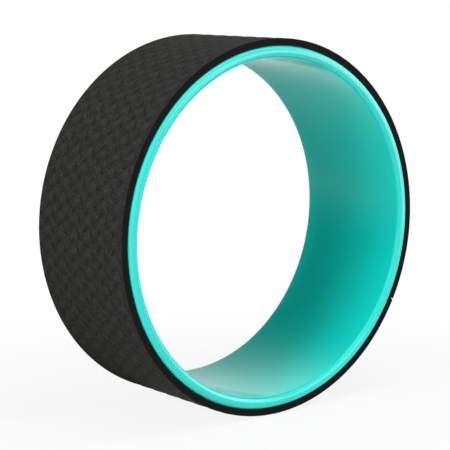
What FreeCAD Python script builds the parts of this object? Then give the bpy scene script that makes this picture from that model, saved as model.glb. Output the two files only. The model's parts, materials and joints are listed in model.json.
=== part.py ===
"""Yoga wheel: a double-walled ABS hoop with a foam tread strip bonded round its outside.

Millimetres. The origin is the wheel's centre, the wheel's axis is Y and Z is up.
The front of the wheel, with the unbroken lip, faces -Y.
"""
import FreeCAD, Part
import math
import os

# Driving dimensions of the tread: a foam strip wrapped once round the hoop
wheel_diameter = 330.0
pad_width = 123.0
pad_thickness = 6.0
pad_edge_radius = 0.8
pad_seam_angle_deg = -29.2
pad_seam_gap_outside = 1.4
pad_seam_gap_inside = 0.2

# Driving dimensions of the film that holds the strip on the hoop
film_thickness = 0.2
film_clearance = 0.1
film_inset = 2.4

# Driving dimensions of the hoop: two mouldings that close on each other
bore_wall = 3.0
cavity_height = 4.2
drum_wall = 2.8
lip_overhang = 2.0
lip_depth = 5.0
lip_bore_radius = 4.6
lip_drum_radius = 4.2
skirt_thickness = 1.3
skirt_length = 3.0
web_count = 48
web_thickness = 1.8
bond_clearance = 0.1

# Radii that follow from them, from the tread inwards
wheel_radius = wheel_diameter / 2
pad_inner_radius = wheel_radius - pad_thickness
film_outer_radius = pad_inner_radius - film_clearance
film_inner_radius = film_outer_radius - film_thickness
drum_outer_radius = film_inner_radius - film_clearance
skirt_inner_radius = drum_outer_radius - skirt_thickness
drum_inner_radius = drum_outer_radius - drum_wall
shell_outer_radius = drum_inner_radius - cavity_height
bore_radius = shell_outer_radius - bore_wall

# Stations along the axis, from the front at -Y to the rear at +Y
hoop_half_width = pad_width / 2 + lip_overhang
front_lip_back = -hoop_half_width + lip_depth
skirt_end = front_lip_back + skirt_length
rear_lip_front = hoop_half_width - lip_depth

# How far cutting bodies run past the hoop
past_hoop_radius = drum_outer_radius + drum_wall
past_hoop_end = hoop_half_width + lip_depth

AXIS = FreeCAD.Vector(0, 1, 0)
CENTRE = FreeCAD.Vector(0, 0, 0)


def tube(inner_radius, outer_radius, front, rear):
    """A plain ring about the wheel's axis, from one station to another."""
    base = AXIS * front
    outside = Part.makeCylinder(outer_radius, rear - front, base, AXIS)
    inside = Part.makeCylinder(inner_radius, rear - front, base, AXIS)
    return outside.cut(inside)


def round_rims(body, rim_radius, rounding):
    """The body with its circular edges of one radius rounded off."""
    rims = []
    for edge in body.Edges:
        if isinstance(edge.Curve, Part.Circle) and math.isclose(edge.Curve.Radius, rim_radius):
            rims.append(edge)
    return body.makeFillet(rounding, rims)


def hoop_form():
    """The hoop's outer form, from bore to drum, with its four lip edges rounded."""
    plain = tube(bore_radius, drum_outer_radius, -hoop_half_width, hoop_half_width)
    bore_rounded = round_rims(plain, bore_radius, lip_bore_radius)
    return round_rims(bore_rounded, drum_outer_radius, lip_drum_radius)


def webs():
    """The ribs that stand across the cavity, rooted in the bore wall and the front lip."""
    root = bore_wall / 4
    height = cavity_height - bond_clearance
    length = rear_lip_front - front_lip_back - bond_clearance
    corner = FreeCAD.Vector(shell_outer_radius - root, front_lip_back - root, -web_thickness / 2)
    ribs = []
    for index in range(web_count):
        rib = Part.makeBox(root + height, root + length, web_thickness, corner)
        rib.rotate(CENTRE, AXIS, 360 * (index + 0.5) / web_count)
        ribs.append(rib)
    return ribs


def inner_shell():
    """Bore wall, whole front lip with a skirt over the drum's front edge, and the webs."""
    skirt = tube(skirt_inner_radius, past_hoop_radius, front_lip_back, skirt_end)
    room = tube(shell_outer_radius, past_hoop_radius, front_lip_back, past_hoop_end)
    shell = hoop_form().cut(room.cut(skirt))
    return shell.fuse(webs()).removeSplitter()


def outer_drum():
    """Drum wall and rear lip, with a spigot at the front that slides under the skirt."""
    wall_front = skirt_end + bond_clearance
    spigot_front = front_lip_back + bond_clearance
    spigot_radius = skirt_inner_radius - bond_clearance
    wall = tube(drum_inner_radius, past_hoop_radius, wall_front, past_hoop_end)
    spigot = tube(drum_inner_radius, spigot_radius, spigot_front, wall_front)
    rear_lip = tube(shell_outer_radius + bond_clearance, past_hoop_radius, rear_lip_front, past_hoop_end)
    return hoop_form().common(wall.fuse([spigot, rear_lip])).removeSplitter()


def strip_seam():
    """The V-shaped gap between the two ends of the tread strip, as a cutting body."""
    slope = (pad_seam_gap_outside - pad_seam_gap_inside) / (wheel_radius - drum_outer_radius)
    past_tread = wheel_radius + pad_thickness
    half_gap_past = (pad_seam_gap_outside + slope * pad_thickness) / 2
    side = [(drum_outer_radius, pad_seam_gap_inside / 2), (past_tread, half_gap_past)]
    other_side = [(radius, -half_gap) for radius, half_gap in reversed(side)]
    corners = [FreeCAD.Vector(radius, -pad_width, height) for radius, height in side + other_side]
    wedge = Part.Face(Part.makePolygon(corners + corners[:1])).extrude(AXIS * (2 * pad_width))
    wedge.rotate(CENTRE, AXIS, -pad_seam_angle_deg)
    return wedge


def adhesive_film():
    """The double-sided film between drum and tread, open at the strip's seam."""
    half_width = pad_width / 2 - film_inset
    band = tube(film_inner_radius, film_outer_radius, -half_width, half_width)
    return band.cut(strip_seam())


def tread_pad():
    """The foam strip with its softened outer edges, butted end to end at the seam."""
    band = tube(pad_inner_radius, wheel_radius, -pad_width / 2, pad_width / 2)
    return round_rims(band, wheel_radius, pad_edge_radius).cut(strip_seam())


def main():
    os.makedirs("parts", exist_ok=True)
    pieces = {
        "inner_shell": inner_shell(),
        "outer_drum": outer_drum(),
        "adhesive_film": adhesive_film(),
        "tread_pad": tread_pad(),
    }
    for name, shape in pieces.items():
        shape.exportStep("parts/%s.step" % name)
        print("%s: %d solid, valid %s, %.1f cm3"
              % (name, len(shape.Solids), shape.isValid(), shape.Volume / 1000))
    print("bore radius %.2f, drum radius %.2f, hoop width %.2f"
          % (bore_radius, drum_outer_radius, 2 * hoop_half_width))


main()
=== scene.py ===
"""The yoga wheel's looks: finishes for the moulded hoop, the embossed foam tread, a studio and a camera.

Metres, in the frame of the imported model: the wheel's centre is the origin, its axis is Y,
its front faces -Y and Z is up. Azimuth 0 is the front and 90 is the wheel's right, +X.
"""
import json
import math

import bmesh
import bpy
import numpy as np
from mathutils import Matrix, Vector


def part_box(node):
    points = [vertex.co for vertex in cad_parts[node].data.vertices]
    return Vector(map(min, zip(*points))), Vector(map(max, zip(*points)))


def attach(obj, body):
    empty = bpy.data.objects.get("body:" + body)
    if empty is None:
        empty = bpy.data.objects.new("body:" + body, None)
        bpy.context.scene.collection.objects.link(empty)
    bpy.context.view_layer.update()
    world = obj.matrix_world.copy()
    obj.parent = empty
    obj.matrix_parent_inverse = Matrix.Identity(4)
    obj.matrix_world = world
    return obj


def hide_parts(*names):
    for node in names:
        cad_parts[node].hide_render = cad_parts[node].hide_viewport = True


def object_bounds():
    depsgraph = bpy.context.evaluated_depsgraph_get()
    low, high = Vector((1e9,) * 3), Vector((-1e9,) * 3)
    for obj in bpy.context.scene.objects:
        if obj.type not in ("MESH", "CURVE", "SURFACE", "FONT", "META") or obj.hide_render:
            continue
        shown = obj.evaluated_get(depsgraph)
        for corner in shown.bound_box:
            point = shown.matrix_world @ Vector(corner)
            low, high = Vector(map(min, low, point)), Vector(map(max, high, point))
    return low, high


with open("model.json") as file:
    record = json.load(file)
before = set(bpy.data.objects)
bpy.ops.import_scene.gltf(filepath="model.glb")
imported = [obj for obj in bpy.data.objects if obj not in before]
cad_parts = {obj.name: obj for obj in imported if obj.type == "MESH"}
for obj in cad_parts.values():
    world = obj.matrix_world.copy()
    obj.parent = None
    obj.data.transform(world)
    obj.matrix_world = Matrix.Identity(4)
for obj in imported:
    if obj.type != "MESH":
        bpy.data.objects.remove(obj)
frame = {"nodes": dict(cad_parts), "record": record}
cad_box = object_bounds()

MM = 0.001

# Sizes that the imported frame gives
bore = next(mount for mount in frame["record"]["mounts"] if mount["name"] == "bore")
bore_radius = bore["dims"]["r_mm"] * MM
bore_half_length = bore["dims"]["length_mm"] * MM / 2
hoop_half_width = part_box("outer_drum")[1].y
drum_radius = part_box("outer_drum")[1].z
film_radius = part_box("adhesive_film")[1].z
wheel_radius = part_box("tread_pad")[1].z
pad_half_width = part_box("tread_pad")[1].y
floor_height = cad_box[0].z

# The hoop: an inner shell with the front lip and webs, closed by an outer drum with the rear lip
bore_wall = 3.0 * MM
drum_wall = 2.8 * MM
lip_depth = 5.0 * MM
lip_drum_rounding = 4.2 * MM
lip_bore_rounding = hoop_half_width - bore_half_length
skirt_thickness = 1.3 * MM
skirt_length = 3.0 * MM
bond_clearance = 0.1 * MM
web_count = 48
steps_per_web = 11
web_step = steps_per_web // 2
hoop_steps = web_count * steps_per_web
rounding_steps = 24
hoop_sharp_angle = math.radians(30)
merge_distance = 0.001 * MM

# The tread strip: how it was cut and wrapped. The gap at its seam widens with a power of the height
# above the drum, so that the two ends all but touch lower down and part near the outside.
pad_clearance = 0.1 * MM
pad_edge_radius = 0.8 * MM
pad_edge_steps = 4
seam_angle = math.radians(-29.2)
seam_gap_outside = 1.4 * MM
seam_gap_inside = 0.2 * MM
seam_gap_power = 4
seam_side_steps = 4
seam_end_radius = 0.4 * MM
seam_end_steps = 3
tread_sharp_angle = math.radians(50)

# Mesh steps on the tread's face: fine enough for the emboss, and under 200,000 triangles in all
tread_step_round = 1.36 * MM
tread_step_across = 1.1 * MM

# The emboss: rows of low rounded scales, parted by short grooves that slant to either side in turn.
# Each mark repeats at the two pitches. Its angle is in degrees round the wheel's axis.
groove_depth = 0.4 * MM
scale_height = 0.3 * MM
emboss_pitch_round = 14.1 * MM
emboss_pitch_across = 19.75 * MM
emboss_edge = 3.0 * MM
groove_size = (3.6 * MM, 1.15 * MM)
groove_slant = math.radians(27)
scale_size = (3.0 * MM, 3.8 * MM)
bead_size = (2.6 * MM, 1.8 * MM)
emboss_marks = [
    {"angle": 152.47, "across": -9.31 * MM, "slant": groove_slant,
     "size": groove_size, "height": -groove_depth, "flatness": 1},
    {"angle": 154.57, "across": 0.16 * MM, "slant": -groove_slant,
     "size": groove_size, "height": -groove_depth, "flatness": 1},
    {"angle": 154.0, "across": 7.9 * MM, "slant": 0.0,
     "size": scale_size, "height": scale_height, "flatness": 2},
    {"angle": 152.17, "across": -1.41 * MM, "slant": -groove_slant,
     "size": bead_size, "height": scale_height, "flatness": 1},
]

# Sockets of a Mix node that mixes colours
mix_share, mix_first, mix_second, mix_result = 0, 6, 7, 2


def linear_colour(srgb_hex):
    """The linear RGBA of a colour written as sRGB hex."""
    channels = []
    for start in (0, 2, 4):
        value = int(srgb_hex[start:start + 2], 16) / 255
        if value <= 0.04045:
            channels.append(value / 12.92)
        else:
            channels.append(((value + 0.055) / 1.055) ** 2.4)
    return (*channels, 1.0)


def per_metre(millimetres):
    """The texture scale at which one cell of a pattern has this size."""
    return 1 / (millimetres * MM)


def add_node(tree, kind, inputs=None, **settings):
    """A new node with its settings; each input, by name or number, takes a value or a socket to link."""
    node = tree.nodes.new("ShaderNode" + kind)
    for name, value in settings.items():
        setattr(node, name, value)
    for name, value in (inputs or {}).items():
        if isinstance(value, bpy.types.NodeSocket):
            tree.links.new(value, node.inputs[name])
        else:
            node.inputs[name].default_value = value
    return node


def new_material(name):
    """A material with an empty node tree, and that tree."""
    material = bpy.data.materials.new(name)
    material.use_nodes = True
    material.node_tree.nodes.clear()
    return material, material.node_tree


def add_object(name, data):
    """A new object in the scene, for a mesh, a lamp or a camera."""
    thing = bpy.data.objects.new(name, data)
    bpy.context.scene.collection.objects.link(thing)
    return thing


def moulded_abs():
    """ABS moulded in a polished tool: one even glossy colour, with a faint orange peel that bends
    reflections a little and slightly duller clouds where the melt flowed."""
    material, tree = new_material("ABS_moulded_gloss_turquoise")
    place = add_node(tree, "TexCoord").outputs["Object"]
    flow = add_node(tree, "TexNoise", {"Vector": place, "Scale": per_metre(45), "Detail": 3.0})
    tint = add_node(tree, "Mix", {
        mix_share: flow.outputs["Fac"],
        mix_first: linear_colour("0cc9bd"),
        mix_second: linear_colour("0ecdc1"),
    }, data_type="RGBA")
    dull = add_node(tree, "MapRange", {"Value": flow.outputs["Fac"], "To Min": 0.10, "To Max": 0.15})
    peel = add_node(tree, "TexNoise", {"Vector": place, "Scale": per_metre(7), "Detail": 1.0})
    skin = add_node(tree, "Bump", {
        "Height": peel.outputs["Fac"], "Strength": 1.0, "Distance": 0.006 * MM,
    })
    shader = add_node(tree, "BsdfPrincipled", {
        "Base Color": tint.outputs[mix_result],
        "Roughness": dull.outputs["Result"],
        "IOR": 1.54,
        "Normal": skin.outputs["Normal"],
    })
    add_node(tree, "OutputMaterial", {"Surface": shader.outputs["BSDF"]})
    return material


def embossed_foam():
    """Black TPE foam with a skin rolled against an engraved drum: matt and finely grained. Painted shade
    makes it blacker in the grooves and painted light makes it paler on the raised scales, and painted
    highlights make the tips of the grain paler. The grain is drawn a little coarser than it is, so that
    it shows."""
    material, tree = new_material("TPE_foam_embossed_black")
    place = add_node(tree, "TexCoord").outputs["Object"]
    painted_relief_shade = add_node(tree, "Attribute", attribute_name="painted_relief_shade").outputs["Fac"]
    # Painted shade and light: 141413 at a groove's bottom, 262624 at a scale's top
    scales = add_node(tree, "Mix", {
        mix_share: painted_relief_shade,
        mix_first: linear_colour("141413"),
        mix_second: linear_colour("262624"),
    }, data_type="RGBA")
    grain = add_node(tree, "TexNoise", {"Vector": place, "Scale": per_metre(1.3), "Detail": 2.0})
    # Painted highlight: the grain's raised tips, which the bump lifts, are painted paler towards 42423f
    painted_grain_highlight = add_node(tree, "MapRange", {
        "Value": grain.outputs["Fac"], "From Min": 0.5, "From Max": 0.75, "To Min": 0.0, "To Max": 0.6,
    })
    colour = add_node(tree, "Mix", {
        mix_share: painted_grain_highlight.outputs["Result"],
        mix_first: scales.outputs[mix_result],
        mix_second: linear_colour("42423f"),
    }, data_type="RGBA")
    skin = add_node(tree, "Bump", {
        "Height": grain.outputs["Fac"], "Strength": 1.0, "Distance": 0.4 * MM,
    })
    shader = add_node(tree, "BsdfPrincipled", {
        "Base Color": colour.outputs[mix_result],
        "Roughness": 0.8,
        "IOR": 1.5,
        "Specular IOR Level": 0.07,
        "Normal": skin.outputs["Normal"],
    })
    add_node(tree, "OutputMaterial", {"Surface": shader.outputs["BSDF"]})
    return material


def cut_foam():
    """The same foam where a knife cut it: open cells that trap light, so it is blacker and has no sheen.
    The cells are drawn several times their real size, so that they show, and each is painted darker in
    its middle, as shade in its pit."""
    material, tree = new_material("TPE_foam_knife_cut_black")
    place = add_node(tree, "TexCoord").outputs["Object"]
    cells = add_node(tree, "TexVoronoi", {"Vector": place, "Scale": per_metre(0.9)})
    # Painted shade: each cell is darker at its middle, where the bump sinks it into a pit
    colour = add_node(tree, "Mix", {
        mix_share: cells.outputs["Distance"],
        mix_first: linear_colour("141412"),
        mix_second: linear_colour("191916"),
    }, data_type="RGBA")
    pits = add_node(tree, "Bump", {
        "Height": cells.outputs["Distance"], "Strength": 1.0, "Distance": 0.1 * MM,
    })
    shader = add_node(tree, "BsdfPrincipled", {
        "Base Color": colour.outputs[mix_result],
        "Roughness": 0.95,
        "IOR": 1.5,
        "Specular IOR Level": 0.05,
        "Normal": pits.outputs["Normal"],
    })
    add_node(tree, "OutputMaterial", {"Surface": shader.outputs["BSDF"]})
    return material


def acrylic_film():
    """Double-sided acrylic film, rolled on: dull, pale straw, with small trapped bubbles."""
    material, tree = new_material("Acrylic_adhesive_film_straw")
    place = add_node(tree, "TexCoord").outputs["Object"]
    bubbles = add_node(tree, "TexVoronoi", {"Vector": place, "Scale": per_metre(4)})
    colour = add_node(tree, "Mix", {
        mix_share: bubbles.outputs["Distance"],
        mix_first: linear_colour("e1ddcf"),
        mix_second: linear_colour("cfc9b4"),
    }, data_type="RGBA")
    shader = add_node(tree, "BsdfPrincipled", {
        "Base Color": colour.outputs[mix_result], "Roughness": 0.55, "IOR": 1.47,
    })
    add_node(tree, "OutputMaterial", {"Surface": shader.outputs["BSDF"]})
    return material


def arc(centre_radius, centre_across, rounding, start, end):
    """Points of a rounding in the hoop's section. Angle 0 points away from the axis and 90 to the rear."""
    turns = np.radians(np.linspace(start, end, rounding_steps + 1))
    return [
        (centre_radius + rounding * math.cos(turn), centre_across + rounding * math.sin(turn))
        for turn in turns
    ]


def lathe(name, sections, angles, material):
    """A closed mesh through one section at each angle round the wheel's axis."""
    sections = np.array(sections)
    count, around = sections.shape[:2]
    radius, across = sections[:, :, 0], sections[:, :, 1]
    turn = np.array(angles)[:, None]
    places = np.stack([radius * np.cos(turn), across, radius * np.sin(turn)], axis=-1)
    index = np.arange(count * around).reshape(count, around)
    after = np.roll(index, -1, axis=0)
    beside = np.roll(index, -1, axis=1)
    quads = np.stack([index, beside, np.roll(after, -1, axis=1), after], axis=-1)
    mesh = bpy.data.meshes.new(name)
    mesh.from_pydata(places.reshape(-1, 3).tolist(), [], quads.reshape(-1, 4).tolist())
    work = bmesh.new()
    work.from_mesh(mesh)
    bmesh.ops.remove_doubles(work, verts=work.verts, dist=merge_distance)
    bmesh.ops.recalc_face_normals(work, faces=work.faces)
    work.to_mesh(mesh)
    work.free()
    mesh.polygons.foreach_set("use_smooth", np.ones(len(mesh.polygons), bool))
    mesh.set_sharp_from_angle(angle=hoop_sharp_angle)
    mesh.materials.append(material)
    return add_object(name, mesh)


def inner_shell(material):
    """Bore wall, whole front lip with a skirt over the drum's front edge, and webs across the cavity."""
    shell_radius = bore_radius + bore_wall
    web_radius = drum_radius - drum_wall - bond_clearance
    lip_back = -hoop_half_width + lip_depth
    web_end = hoop_half_width - lip_depth - bond_clearance
    skirt_radius = drum_radius - skirt_thickness
    rounding_centre = bore_radius + lip_bore_rounding
    joint_turn = math.degrees(math.acos((shell_radius - rounding_centre) / lip_bore_rounding))

    def section(outside):
        """The shell's section, with its wall between the lips reaching out to this radius."""
        points = arc(rounding_centre, bore_half_length, lip_bore_rounding, 180, joint_turn)
        points += [(shell_radius, web_end), (outside, web_end), (outside, lip_back)]
        points += [(skirt_radius, lip_back), (skirt_radius, lip_back + skirt_length)]
        points += [(drum_radius, lip_back + skirt_length)]
        points += arc(drum_radius - lip_drum_rounding, -hoop_half_width + lip_drum_rounding,
                      lip_drum_rounding, 0, -90)
        points += arc(rounding_centre, -bore_half_length, lip_bore_rounding, -90, -180)
        return points

    plain = section(shell_radius)
    web = section(web_radius)
    sections, angles = [], []
    for number in range(hoop_steps):
        angle = 2 * math.pi * number / hoop_steps
        step = number % steps_per_web
        if step == web_step:
            sections += [plain, web]
            angles += [angle, angle]
        elif step == web_step + 1:
            sections += [web, plain]
            angles += [angle, angle]
        else:
            sections.append(plain)
            angles.append(angle)
    return lathe("hoop_inner_shell", sections, angles, material)


def outer_drum(material):
    """Drum wall and rear lip, with a spigot at the front that slides under the skirt."""
    inside = drum_radius - drum_wall
    spigot_radius = drum_radius - skirt_thickness - bond_clearance
    spigot_front = -hoop_half_width + lip_depth + bond_clearance
    wall_front = spigot_front + skirt_length
    lip_radius = bore_radius + bore_wall + bond_clearance
    lip_front = hoop_half_width - lip_depth
    rounding_centre = bore_radius + lip_bore_rounding
    joint_turn = math.degrees(math.acos((lip_radius - rounding_centre) / lip_bore_rounding))
    points = [(inside, spigot_front), (spigot_radius, spigot_front), (spigot_radius, wall_front)]
    points += [(drum_radius, wall_front)]
    points += arc(drum_radius - lip_drum_rounding, hoop_half_width - lip_drum_rounding,
                  lip_drum_rounding, 0, 90)
    points += arc(rounding_centre, bore_half_length, lip_bore_rounding, 90, joint_turn)
    points += [(lip_radius, lip_front), (inside, lip_front)]
    angles = np.linspace(0, 2 * math.pi, hoop_steps, endpoint=False)
    return lathe("hoop_outer_drum", [points] * hoop_steps, angles, material)


def emboss_height(angle, across):
    """How far the emboss lifts or sinks the skin at each place on the tread."""
    height = np.zeros(np.broadcast(angle, across).shape)
    for mark in emboss_marks:
        half_length, half_width = mark["size"]
        slant = mark["slant"]
        cells_round = (angle - math.radians(mark["angle"])) * wheel_radius / emboss_pitch_round
        cells_across = (across - mark["across"]) / emboss_pitch_across
        for next_round in (-1, 0, 1):
            for next_across in (-1, 0, 1):
                from_round = (cells_round - np.round(cells_round) + next_round) * emboss_pitch_round
                from_across = (cells_across - np.round(cells_across) + next_across) * emboss_pitch_across
                along = from_round * math.cos(slant) + from_across * math.sin(slant)
                beside = from_across * math.cos(slant) - from_round * math.sin(slant)
                spread = ((along / half_length) ** 2 + (beside / half_width) ** 2) / 2
                height += mark["height"] * np.exp(-spread ** mark["flatness"])
    return np.clip(height, -groove_depth, scale_height)


def tread_section():
    """The strip's section, once round: radius and place across at each point."""
    inner_radius = film_radius + pad_clearance
    side = np.linspace(inner_radius, wheel_radius - pad_edge_radius, seam_side_steps + 1)[:-1]
    points = [(radius, -pad_half_width) for radius in side]
    turns = np.linspace(0, math.pi / 2, pad_edge_steps + 1)
    rounding = [
        (wheel_radius - pad_edge_radius * (1 - math.sin(turn)),
         pad_half_width - pad_edge_radius * (1 - math.cos(turn)))
        for turn in turns
    ]
    points += [(radius, -across) for radius, across in rounding]
    face_half_width = pad_half_width - pad_edge_radius
    face_steps = round(2 * face_half_width / tread_step_across)
    for across in np.linspace(-face_half_width, face_half_width, face_steps + 1)[1:-1]:
        points.append((wheel_radius, across))
    points += reversed(rounding)
    points += [(radius, pad_half_width) for radius in reversed(side)]
    return np.array(points)


def tread_stations():
    """Distances along the strip, from one end to the other, closer together at its two rounded ends."""
    length = 2 * math.pi * wheel_radius
    near_end = seam_end_radius * (1 - np.cos(np.linspace(0, math.pi / 2, seam_end_steps + 1)))
    steps = round((length - 2 * seam_end_radius) / tread_step_round)
    middle = np.linspace(seam_end_radius, length - seam_end_radius, steps + 1)[1:-1]
    return np.concatenate([near_end, middle, length - near_end[::-1]])


def wrapped_tread(section, stations):
    """The strip wrapped round the drum: each point's place, and from 0 to 1 how high the emboss lifts it,
    which the foam's colour turns into painted shade in the grooves and painted light on the scales.
    """
    length = stations[-1]
    share_along = (stations / length)[:, None]
    radius = np.broadcast_to(section[:, 0], (len(stations), len(section)))
    across = np.broadcast_to(section[:, 1], radius.shape)

    from_end = np.minimum(stations, length - stations)[:, None]
    inside_rounding = np.clip(seam_end_radius - from_end, 0, None)
    end_drop = seam_end_radius - np.sqrt(seam_end_radius ** 2 - inside_rounding ** 2)
    outside = radius > wheel_radius - 2 * pad_edge_radius

    share_up = (radius - drum_radius) / (wheel_radius - drum_radius)
    widening = (seam_gap_outside - seam_gap_inside) * share_up ** seam_gap_power
    end_angle = (seam_gap_inside + widening) / 2 / radius
    angle = seam_angle + end_angle + share_along * (2 * math.pi - 2 * end_angle)
    embossed = np.clip((pad_half_width - np.abs(across)) / emboss_edge, 0, 1)
    height = embossed * emboss_height(angle, across)
    radius = radius - embossed * scale_height + height - outside * end_drop
    # 0 at a groove's bottom, 1 at a scale's top: drives painted shade in grooves, painted light on scales
    painted_relief_shade = (height + groove_depth) / (groove_depth + scale_height)
    places = np.stack([radius * np.cos(angle), across, radius * np.sin(angle)], axis=-1)
    return places, painted_relief_shade


def tread_strip(skin, cut):
    """The foam strip as one closed mesh: embossed face, rounded edges, cut sides and two butted ends."""
    section = tread_section()
    stations = tread_stations()
    places, painted_relief_shade = wrapped_tread(section, stations)
    around = len(section)
    index = np.arange(len(stations) * around).reshape(-1, around)
    beside = np.roll(index, -1, axis=1)
    quads = np.stack([index[:-1], index[1:], beside[1:], beside[:-1]], axis=-1)
    faces = quads.reshape(-1, 4).tolist()
    faces.append(index[0].tolist())
    faces.append(index[-1][::-1].tolist())

    mesh = bpy.data.meshes.new("tread_strip")
    mesh.from_pydata(places.reshape(-1, 3).tolist(), [], faces)
    mesh.materials.append(skin)
    mesh.materials.append(cut)
    skin_slot, cut_slot = 0, 1
    columns = np.full(around, cut_slot)
    rim = seam_side_steps + pad_edge_steps // 2
    columns[rim:around - rim - 1] = skin_slot
    slots = np.concatenate([np.tile(columns, len(stations) - 1), [cut_slot, cut_slot]])
    mesh.polygons.foreach_set("material_index", slots)
    mesh.polygons.foreach_set("use_smooth", np.ones(len(faces), bool))
    # The height share goes to the foam's colour, where it paints shade and light
    mesh.attributes.new("painted_relief_shade", "FLOAT", "POINT").data.foreach_set("value", painted_relief_shade.ravel())
    mesh.set_sharp_from_angle(angle=tread_sharp_angle)
    mesh.update()
    return add_object("tread_strip", mesh)


def towards(azimuth, elevation):
    """The unit vector that points from the wheel to an azimuth and elevation, in degrees."""
    turn, rise = math.radians(azimuth), math.radians(elevation)
    return Vector((math.sin(turn) * math.cos(rise), -math.cos(turn) * math.cos(rise), math.sin(rise)))


def shown_to_viewer(tree):
    """A factor that is 1 where the camera looks, straight or by way of gloss or glass, and 0 otherwise."""
    seen = add_node(tree, "LightPath")
    mirrored = add_node(tree, "Math", {
        0: seen.outputs["Is Glossy Ray"], 1: seen.outputs["Is Transmission Ray"],
    }, operation="MAXIMUM")
    shown = add_node(tree, "Math", {
        0: mirrored.outputs[0], 1: seen.outputs["Is Camera Ray"],
    }, operation="MAXIMUM")
    return shown.outputs[0]


def table_laminate():
    """Matt laminate, pale grey to the light that falls on it. It is shown white, apart from a small share
    near the wheel that keeps the wheel's soft shadow and fades out further away."""
    shadow_share = 0.12
    fade_start, fade_end = 0.15, 0.5
    material, tree = new_material("Laminate_matt_pale_grey")
    place = add_node(tree, "TexCoord").outputs["Object"]
    flat = add_node(tree, "VectorMath", {0: place, 1: (1.0, 1.0, 0.0)}, operation="MULTIPLY")
    from_middle = add_node(tree, "VectorMath", {0: flat.outputs[0]}, operation="LENGTH")
    fade = add_node(tree, "MapRange", {
        "Value": from_middle.outputs["Value"],
        "From Min": fade_start,
        "From Max": fade_end,
        "To Min": 1 - shadow_share,
        "To Max": 1.0,
    }, interpolation_type="SMOOTHSTEP")
    white = add_node(tree, "Math", {
        0: shown_to_viewer(tree), 1: fade.outputs["Result"],
    }, operation="MULTIPLY")
    laminate = add_node(tree, "BsdfDiffuse", {"Color": linear_colour("c2c2c2")})
    glow = add_node(tree, "Emission", {"Strength": 1.0})
    shader = add_node(tree, "MixShader", {
        0: white.outputs[0], 1: laminate.outputs[0], 2: glow.outputs[0],
    })
    add_node(tree, "OutputMaterial", {"Surface": shader.outputs[0]})
    return material


def studio_floor():
    """A round table top, with the wheel standing on its middle."""
    reach = 0.9
    sides = 96
    turns = np.linspace(0, 2 * math.pi, sides, endpoint=False)
    rim = [(reach * math.cos(turn), reach * math.sin(turn), floor_height) for turn in turns]
    mesh = bpy.data.meshes.new("floor")
    mesh.from_pydata(rim, [], [list(range(sides))])
    mesh.materials.append(table_laminate())
    floor = add_object("floor", mesh)


def studio_world(ambient):
    """White where it is seen or mirrored, and an even dim light otherwise."""
    world = bpy.data.worlds.new("studio")
    world.use_nodes = True
    tree = world.node_tree
    tree.nodes.clear()
    dim = add_node(tree, "Background", {"Color": linear_colour("ffffff"), "Strength": ambient})
    white = add_node(tree, "Background", {"Color": linear_colour("ffffff"), "Strength": 1.0})
    shader = add_node(tree, "MixShader", {
        0: shown_to_viewer(tree), 1: dim.outputs[0], 2: white.outputs[0],
    })
    add_node(tree, "OutputWorld", {"Surface": shader.outputs[0]})
    bpy.context.scene.world = world


def softbox(name, azimuth, elevation, distance, width, height, watts, mirrored=True):
    """A soft rectangular lamp that faces the wheel; behind a polariser it leaves no mirror image."""
    lamp = bpy.data.lights.new(name, "AREA")
    lamp.shape = "RECTANGLE"
    lamp.size = width
    lamp.size_y = height
    lamp.energy = watts
    box = add_object(name, lamp)
    box.location = towards(azimuth, elevation) * distance
    box.rotation_euler = (-box.location).to_track_quat("-Z", "Y").to_euler()
    box.visible_camera = False
    box.visible_glossy = mirrored


def black_felt_and_painted_shadow():
    """Black felt that swallows light, partly clear: its shade share says how much it darkens each place.
    Where it lies on the table it is painted shadow.
    """
    material, tree = new_material("Black_felt_and_painted_shadow")
    shade_cover = add_node(tree, "Attribute", attribute_name="shade_cover").outputs["Fac"]
    clear = add_node(tree, "BsdfTransparent")
    felt = add_node(tree, "BsdfDiffuse", {"Color": linear_colour("050505")})
    shader = add_node(tree, "MixShader", {0: shade_cover, 1: clear.outputs[0], 2: felt.outputs[0]})
    add_node(tree, "OutputMaterial", {"Surface": shader.outputs[0]})
    return material


def dark_flag_and_painted_shadow():
    """A sheet of black felt round the back and left of the wheel, hidden from the camera. It lies on
    the table and then stands up. It darkens what the bore mirrors, and is thinnest straight behind the
    wheel as the camera looks. Where it lies it is painted shadow, standing in for the wheel's shadow on
    the table; where it stands it is a black flag."""
    near_edge, far_edge = 0.075, 0.62
    blend_height, top_height = 0.2, 1.1
    above_table = 0.5 * MM
    ribs = 66
    right_end, left_end = 120, 250
    azimuths = np.linspace(right_end, left_end, ribs)
    # How much the felt darkens at each azimuth: painted shadow where it lies, a black flag where it stands
    lying_painted_shadow = np.interp(azimuths, [140, 149, 163, 180], [0.2, 0.53, 0.62, 0.76])
    standing = np.interp(azimuths, [143, 149, 157, 163, 171, 180], [0.12, 0.35, 0.56, 0.77, 0.88, 0.97])
    corners, covers = [], []
    for azimuth, lying_shadow_cover, cover_standing in zip(azimuths, lying_painted_shadow, standing):
        foot = towards(azimuth, 0)
        rib = [
            (near_edge, 0, lying_shadow_cover),
            (far_edge, 0, lying_shadow_cover),
            (far_edge, blend_height, cover_standing),
            (far_edge, top_height, cover_standing),
        ]
        for reach, rise, shade_cover in rib:
            corners.append((foot.x * reach, foot.y * reach, floor_height + above_table + rise))
            covers.append(shade_cover)
    index = np.arange(len(corners)).reshape(ribs, -1)
    quads = np.stack([index[:-1, :-1], index[1:, :-1], index[1:, 1:], index[:-1, 1:]], axis=-1)
    mesh = bpy.data.meshes.new("flag")
    mesh.from_pydata(corners, [], quads.reshape(-1, 4).tolist())
    mesh.attributes.new("shade_cover", "FLOAT", "POINT").data.foreach_set("value", covers)
    mesh.materials.append(black_felt_and_painted_shadow())
    flag = add_object("flag", mesh)
    flag.visible_camera = False
    flag.visible_shadow = False


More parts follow.
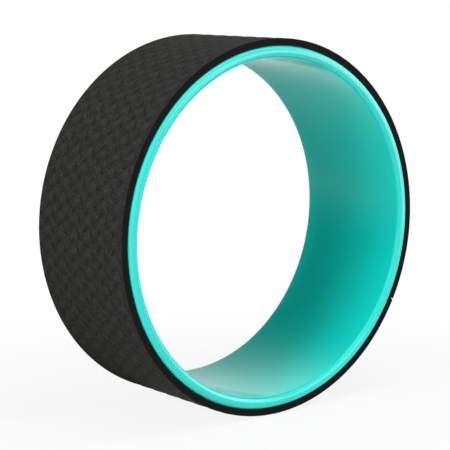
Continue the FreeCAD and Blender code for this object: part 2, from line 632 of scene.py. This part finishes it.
def camera():
    """A long lens, a little above the wheel's centre and well round to its left, aimed just beside it."""
    azimuth, elevation = -39.1, 8.95
    distance = 1423.8 * MM
    aim_left, aim_down = 6.08 * MM, 3.66 * MM
    back = towards(azimuth, elevation)
    right = Vector((0, 0, 1)).cross(back).normalized()
    up = back.cross(right)
    lens = bpy.data.cameras.new("camera")
    lens.sensor_width = 36
    lens.lens = 126.94
    view = add_object("camera", lens)
    view.location = back * distance - right * aim_left - up * aim_down
    view.rotation_euler = (-back).to_track_quat("-Z", "Y").to_euler()
    bpy.context.scene.camera = view


def dress_node(name, material):
    """Gives a CAD node its material."""
    mesh = frame["nodes"][name].data
    mesh.materials.clear()
    mesh.materials.append(material)


hoop_abs = moulded_abs()
for piece, node in ((inner_shell(hoop_abs), "inner_shell"), (outer_drum(hoop_abs), "outer_drum")):
    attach(piece, "root")
    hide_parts(node)
dress_node("adhesive_film", acrylic_film())

tread = tread_strip(embossed_foam(), cut_foam())
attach(tread, "root")
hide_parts("tread_pad")

studio_floor()
studio_world(ambient=0.14)

# From the left: the tread and, through the front opening, the bore's right wall
softbox("left", -84, 20, distance=1.3, width=0.5, height=0.5, watts=11.7, mirrored=False)
softbox("left_front", -72, 8, distance=1.3, width=0.5, height=0.5, watts=2.8, mirrored=False)
softbox("left_rear", -94, 8, distance=1.3, width=0.1, height=0.5, watts=2.8, mirrored=False)

# From above
softbox("top_left", -90, 70, distance=1.3, width=0.7, height=0.7, watts=3.0)
softbox("top", 35, 73, distance=1.3, width=0.8, height=0.8, watts=11.6, mirrored=False)

# From the front and the right: the front lip
softbox("fill", -39, 20, distance=1.6, width=0.8, height=0.8, watts=0.8)
softbox("key", 20, 18, distance=1.5, width=0.6, height=0.45, watts=3.0)
softbox("low_front", -6, -4, distance=0.7, width=0.3, height=0.15, watts=1.0, mirrored=False)
softbox("right", 65, 17, distance=1.4, width=0.8, height=0.8, watts=5.1)
softbox("low_right", 45, 3, distance=1.4, width=0.6, height=0.6, watts=3.0)

# From behind, through the rear opening: the bore
softbox("rear_right", 150, 10, distance=1.4, width=0.6, height=0.6, watts=8.0, mirrored=False)
softbox("rear_low", 178, -17, distance=0.4, width=0.5, height=0.06, watts=0.32, mirrored=False)
dark_flag_and_painted_shadow()
camera()
bpy.context.scene.view_settings.view_transform = "Standard"
